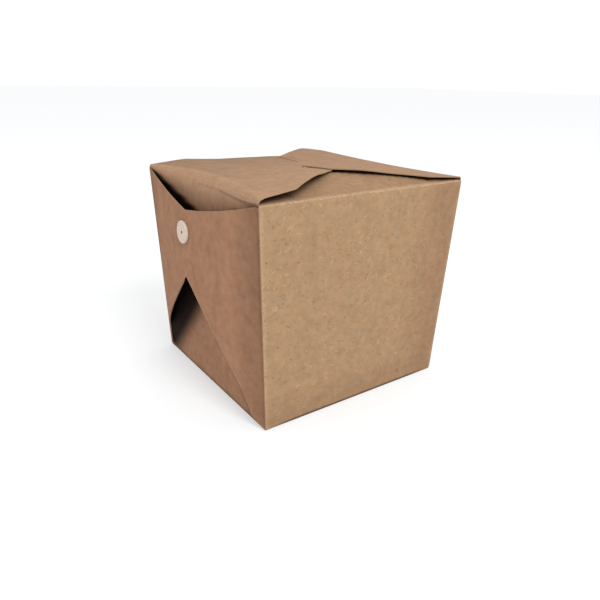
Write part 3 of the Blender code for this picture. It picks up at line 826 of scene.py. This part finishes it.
def turn_rows(sheet, side):
    """Rows of the soft turn from the end panel to its lid flap, with a painted shade line and a
    painted highlight line along its two creases.
    """
    rows = []
    for i in range(1, TURN_STEPS + 1):
        angle = math.pi / 2 * i / TURN_STEPS
        row = []
        for t in COLUMNS:
            y = t * (TOP_Y / 2 - SIDE_CLEAR)
            point = roll_point(side, y, angle)
            calm = smooth((1 - abs(t)) * 6) * (1.0 - angle / (math.pi / 2))
            point.x += side * calm * wave(y, HEIGHT, 21.0 + side)
            place = (END_FLAT + y, HEIGHT + roll_radius(y) * (angle - 1.0))
            # Painted highlight where the turn is tight at the corners, along the high crease and
            # just above the low one.
            worn_and_lit = 0.5 * smooth(1.0 - roll_radius(y) / (1.8 * MM))
            along, width = side * y / MM, CREASE_WIDTH / roll_radius(y)
            low = by_crease(LOW_CREASE_SHADE, along, angle, width)
            high = by_crease(HIGH_CREASE_HIGHLIGHT, along, angle, width)
            above = by_crease(LOW_CREASE_SHADE, along, angle - width, width)
            worn_and_lit = max(worn_and_lit, 0.45 * high, 0.3 * above)
            # Painted shade along the low crease.
            painted_shade = 0.5 * low * mix(0.3, 1.0, smooth(along / 50.0))
            tint = mix(PANEL_TINT, 1.0, smooth(i / TURN_STEPS))
            row.append(sheet.vert(point, place, tint, worn_and_lit, painted_shade))
        rows.append(row)
    return rows


def flap_rows(sheet, side):
    """Rows of an outer lid flap, from its turn to its tip, closer together at the lock."""
    edge = half_x(HEIGHT) - ROLL_CORNER
    stations = steps(edge, SHOULDER_X, SPACING)[1:]
    stations += steps(SHOULDER_X, LOCK_FINE, SPACING)[1:]
    stations += steps(LOCK_FINE, 0.0, FINE_SPACING)[1:]
    stations += steps(0.0, -TIP_REACH, FINE_SPACING)[1:]
    rows = []
    for out in stations:
        near, far = (flap_edge(side, hand, out) for hand in (-1, 1))
        f = (edge - out) / (edge + TIP_REACH)
        row = []
        for t in COLUMNS:
            y = mix(-near, far, (t + 1.0) / 2)
            start = side * roll_point(side, y, math.pi / 2).x
            x = side * mix(start, -TIP_REACH, f)
            calm = smooth((1 - abs(t)) * 5) * smooth((abs(x) - LOCK_FINE) / CALM_SPAN)
            z = min(flap_z(side, x, y) + calm * wave(x, y, 31.0 + side), cad_high[2])
            place = (END_FLAT + y, HEIGHT + start + TURN_FLAT - side * x)
            # Wear and painted highlight along the flap's side edges.
            wear_and_highlight = 0.25 * smooth(1.0 - (1.0 - abs(t)) * near / (0.8 * MM))
            # Painted shade: the flap grows darker towards its far side edge.
            painted_shade = 0.05 + 0.05 * (1.0 + t) if side > 0 else 0.13 * (1.0 + t)
            # Painted shade lines where the slit and the hook lie.
            if side < 0:
                marks = (SLIT_SHADE * by_line(x, y, *mark, SLIT_WIDTH) for mark in SLIT_SHADE_LINES)
                painted_shade = max(painted_shade, *marks)
            row.append(sheet.vert((x, y, z), place, 1.0, wear_and_highlight, painted_shade))
        rows.append(row)
    return rows


for side, end in ((-1, "left"), (1, "right")):
    sheet = Sheet(f"end_sheet_{end}")
    sheet.grid(panel_rows(sheet, side) + turn_rows(sheet, side) + flap_rows(sheet, side))
    end_sheet = sheet.board(CARD, BOX_MIDDLE, (kraft_ends, lining, cut_edge))
    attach(end_sheet, "root")
    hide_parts("carton")

# Gusset linings: the inner layer of each pair of gussets, folded back from the arch towards the
# end panel's edges. It is the same board, painted near black as painted shade, and shows only as a
# second edge.
LINING_DROP = 1.05 * MM
LINING_SINK = 2.0 * MM
LINING_END_Z, LINING_TOP_Z = 14.0 * MM, 94.0 * MM
LINING_INSET, LINING_LEAST = 1.5 * MM, 0.5 * MM
PANEL_CLEAR, GUSSET_CLEAR = 0.1 * MM, 0.05 * MM
LINING_COLUMNS = 15
LINING_FLAT = 700.0 * MM
LINING_SHADE = 0.8


def lining_rows(sheet, side, hand):
    """Rows of the inner layer of one gusset, from above its foot to below the lid."""
    levels = steps(LINING_END_Z, ARCH_Z, 2 * SPACING) + steps(ARCH_Z, NOTCH_Z, 2 * SPACING)[1:]
    rows = []
    for z in levels + steps(NOTCH_Z, LINING_TOP_Z, SPACING)[1:]:
        inner = gusset_inner_y(side, hand, z) + LINING_SINK * smooth((ARCH_Z - z) / ROLL_FADE)
        inner += 7 * LINING_SINK * smooth((z - NOTCH_Z + LINING_SINK) / (2 * LINING_SINK))
        outer = half_y(z) - LINING_INSET
        inner = min(inner, outer - LINING_LEAST)
        row = []
        for i in range(LINING_COLUMNS + 1):
            y = mix(inner, outer, i / LINING_COLUMNS)
            outside = half_x(z) + stand_off(y, z)
            x = max(outside - LINING_DROP, panel_x(y, z) + PANEL_CLEAR)
            x = min(x, outside - CARD - GUSSET_CLEAR)
            place = (LINING_FLAT + hand * y, z)
            # Painted near black as painted shade.
            row.append(sheet.vert((side * x, hand * y, z), place, painted_shade=LINING_SHADE))
        rows.append(row)
    return rows


for side, end in ((-1, "left"), (1, "right")):
    sheet = Sheet(f"gusset_lining_{end}")
    for hand in (-1, 1):
        sheet.grid(lining_rows(sheet, side, hand))
    gusset_lining = sheet.board(CARD, BOX_MIDDLE, (kraft_ends, lining, cut_edge))
    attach(gusset_lining, "root")
    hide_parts("carton")

# Rivets: a cream plastic rivet through the gussets of each end holds them together.
# It is a moulded disc with a raised rim, a low boss at the middle and a sunk injection mark,
# painted near black inside as painted shade.
RIVET_Z, RIVET_SHIFT = 76.0 * MM, 2.3 * MM
RIVET_RADIUS = 5.0 * MM
RIVET_THICK = 1.0 * MM
RIVET_RIM, RIM_EDGE = 0.2 * MM, 0.4 * MM
RIVET_SEAT = 0.05 * MM
DIMPLE_RADIUS = 0.68 * MM
SHANK_RADIUS, SHANK_LENGTH = 1.7 * MM, 2.2 * MM
GAP = 0.3 * MM
RIVET_SEGMENTS = 96
RIVET_SHARP = math.radians(40.0)
CREAM = (0.56, 0.455, 0.375)
DIMPLE_SHADE = (0.03, 0.02, 0.015)


class Plastic(Finish):
    """Cream moulded plastic with a low sheen and faint moulding marks, and painted shade in the
    dimple at its middle.
    """

    def __init__(self, name, colour, mark):
        super().__init__(name, 0.42, 0.45)
        place = self.node("ShaderNodeTexCoord", {}, {}, "Object")
        cloud = self.node("ShaderNodeTexNoise", {}, {"Vector": place, "Scale": 700.0,
                                                     "Detail": 3.0})
        grain = self.node("ShaderNodeTexNoise", {}, {"Vector": place, "Scale": 5200.0,
                                                     "Detail": 1.0})
        shade = self.blend(cloud, [c * 0.94 for c in colour], [c * 1.05 for c in colour])
        # Painted shade: the dimple at the middle is painted near black.
        dimple_shade = self.attribute("dimple_shade", "Fac")
        shade = self.blend(dimple_shade, shade, mark)
        bump = self.node("ShaderNodeBump", {}, {"Strength": 0.2, "Distance": 0.03 * MM,
                                                "Height": grain})
        self.link(Base_Color=shade, Normal=bump, Roughness=(0.36 + 0.16 * cloud))


def rivet_frame(side):
    """Where a rivet sits on the strip, with its Z axis along the strip's outward normal."""
    step = 1.0 * MM
    lean = (half_x(RIVET_Z + step) + stand_off(0.0, RIVET_Z + step)
            - half_x(RIVET_Z - step) - stand_off(0.0, RIVET_Z - step)) / (2 * step)
    normal = Vector((side, 0.0, -lean)).normalized()
    across = Vector((0.0, side, 0.0))
    place = Matrix((across, normal.cross(across), normal)).transposed().to_4x4()
    out = half_x(RIVET_Z) + stand_off(0.0, RIVET_Z)
    place.translation = Vector((side * out, -side * RIVET_SHIFT, RIVET_Z))
    return place


def rivet(side, name, finish):
    face = RIVET_SEAT + RIVET_THICK
    profile = [(0.0, face - 0.5 * MM), (0.5 * MM, face - 0.46 * MM), (0.64 * MM, face - 0.2 * MM),
               (0.72 * MM, face + 0.06 * MM), (0.85 * MM, face + 0.12 * MM),
               (1.4 * MM, face + 0.1 * MM), (1.65 * MM, face + 0.06 * MM), (1.9 * MM, face),
               (3.6 * MM, face), (3.8 * MM, face + 0.03 * MM), (4.0 * MM, face + 0.15 * MM),
               (4.2 * MM, face + RIVET_RIM), (RIVET_RADIUS - RIM_EDGE, face + RIVET_RIM)]
    for i in range(1, 7):
        angle = math.pi / 2 * i / 6
        profile.append((RIVET_RADIUS - RIM_EDGE * (1 - math.sin(angle)),
                        face + RIVET_RIM - RIM_EDGE * (1 - math.cos(angle))))
    profile += [(RIVET_RADIUS, 0.25 * MM), (RIVET_RADIUS - 0.12 * MM, 0.08 * MM),
                (RIVET_RADIUS - 0.3 * MM, 0.0), (SHANK_RADIUS, 0.0),
                (SHANK_RADIUS, GAP - SHANK_LENGTH), (0.0, GAP - SHANK_LENGTH)]
    bm = bmesh.new()
    dimple_shade = bm.verts.layers.float.new("dimple_shade")
    verts = [bm.verts.new((r, 0.0, h)) for r, h in profile]
    lines = [bm.edges.new(pair) for pair in zip(verts, verts[1:])]
    bmesh.ops.spin(bm, geom=verts + lines, cent=(0, 0, 0), axis=(0, 0, 1),
                   angle=2 * math.pi, steps=RIVET_SEGMENTS, use_merge=True)
    bmesh.ops.remove_doubles(bm, verts=bm.verts, dist=0.001 * MM)
    bmesh.ops.recalc_face_normals(bm, faces=bm.faces)
    for vert in bm.verts:
        # Mask of the dimple, which takes the painted shade.
        vert[dimple_shade] = 1.0 if vert.co.xy.length < DIMPLE_RADIUS and vert.co.z > 0 else 0.0
    bm.transform(rivet_frame(side))
    mesh = bpy.data.meshes.new(name)
    bm.to_mesh(mesh)
    bm.free()
    mesh.materials.append(finish.material)
    mesh.shade_smooth()
    mesh.set_sharp_from_angle(angle=RIVET_SHARP)
    piece = bpy.data.objects.new(name, mesh)
    bpy.context.scene.collection.objects.link(piece)
    return piece


cream = Plastic("cream_plastic", CREAM, DIMPLE_SHADE)
for side, end in ((-1, "left"), (1, "right")):
    disc = rivet(side, f"rivet_disc_{end}", cream)
    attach(disc, "root")
    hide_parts(f"rivet_{end}")

# Floor, light and camera: a plain white studio table under an even pale light, and one soft
# lamp in front of the box and above it. The camera is where the photograph was taken from.
FLOOR_SIZE, FLOOR_Z = 6.0, -0.1 * MM
FLOOR_COLOUR, FLOOR_GLOW = (0.47, 0.48, 0.488, 1.0), 0.44
WHITE = (1.0, 1.0, 1.0, 1.0)
PALE_LIGHT = 1.05
LAMP_PLACE, LAMP_SIZE, LAMP_WATTS = (0.0, -1.08, 0.95), 0.6, 13.0
LAMP_COLOUR = (1.0, 0.985, 0.96)
floor_mesh = bpy.data.meshes.new("floor")
floor_mesh.from_pydata([(-FLOOR_SIZE, -FLOOR_SIZE, FLOOR_Z), (FLOOR_SIZE, -FLOOR_SIZE, FLOOR_Z),
                        (FLOOR_SIZE, FLOOR_SIZE, FLOOR_Z), (-FLOOR_SIZE, FLOOR_SIZE, FLOOR_Z)],
                       [], [(0, 1, 2, 3)])
floor = bpy.data.objects.new("floor", floor_mesh)
bpy.context.scene.collection.objects.link(floor)
paper = Finish("white_table", 0.9, 0.1)
paper.shader.inputs["Base Color"].default_value = FLOOR_COLOUR
paper.shader.inputs["Emission Color"].default_value = WHITE
paper.shader.inputs["Emission Strength"].default_value = FLOOR_GLOW
floor_mesh.materials.append(paper.material)
floor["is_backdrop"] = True

world = bpy.data.worlds.new("studio")
world.use_nodes = True
world.node_tree.nodes["Background"].inputs["Color"].default_value = WHITE
world.node_tree.nodes["Background"].inputs["Strength"].default_value = PALE_LIGHT
bpy.context.scene.world = world

light = bpy.data.lights.new("key", "AREA")
light.shape = "SQUARE"
light.size = LAMP_SIZE
light.energy = LAMP_WATTS
light.color = LAMP_COLOUR
lamp = bpy.data.objects.new("key", light)
lamp.location = LAMP_PLACE
lamp.rotation_mode = "QUATERNION"
lamp.rotation_quaternion = (BOX_MIDDLE - Vector(LAMP_PLACE)).to_track_quat("-Z", "Y")
bpy.context.scene.collection.objects.link(lamp)

TARGET = Vector((0.0, 0.0, 0.356 * HEIGHT))
AZIMUTH, ELEVATION, ROLL = math.radians(-35.286), math.radians(21.689), math.radians(1.101)
DISTANCE = 2.9427 * HEIGHT
FOCAL_PIXELS, IMAGE_PIXELS = 554.26, 600.0
SHIFT_X, SHIFT_Y = 0.005, -0.0075
SENSOR = 36.0
back = Vector((math.sin(AZIMUTH) * math.cos(ELEVATION), -math.cos(AZIMUTH) * math.cos(ELEVATION),
               math.sin(ELEVATION)))
level = Vector((math.cos(AZIMUTH), math.sin(AZIMUTH), 0.0))
upright = back.cross(level)
right = level * math.cos(ROLL) + upright * math.sin(ROLL)
up = upright * math.cos(ROLL) - level * math.sin(ROLL)
lens = bpy.data.cameras.new("camera")
lens.sensor_width = SENSOR
lens.lens = FOCAL_PIXELS / IMAGE_PIXELS * SENSOR
lens.shift_x, lens.shift_y = SHIFT_X, SHIFT_Y
camera = bpy.data.objects.new("camera", lens)
camera.matrix_world = Matrix((right, up, back)).transposed().to_4x4()
camera.matrix_world.translation = TARGET + back * DISTANCE
bpy.context.scene.collection.objects.link(camera)
bpy.context.scene.camera = camera
bpy.context.scene.view_settings.view_transform = "Standard"

low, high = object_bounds()
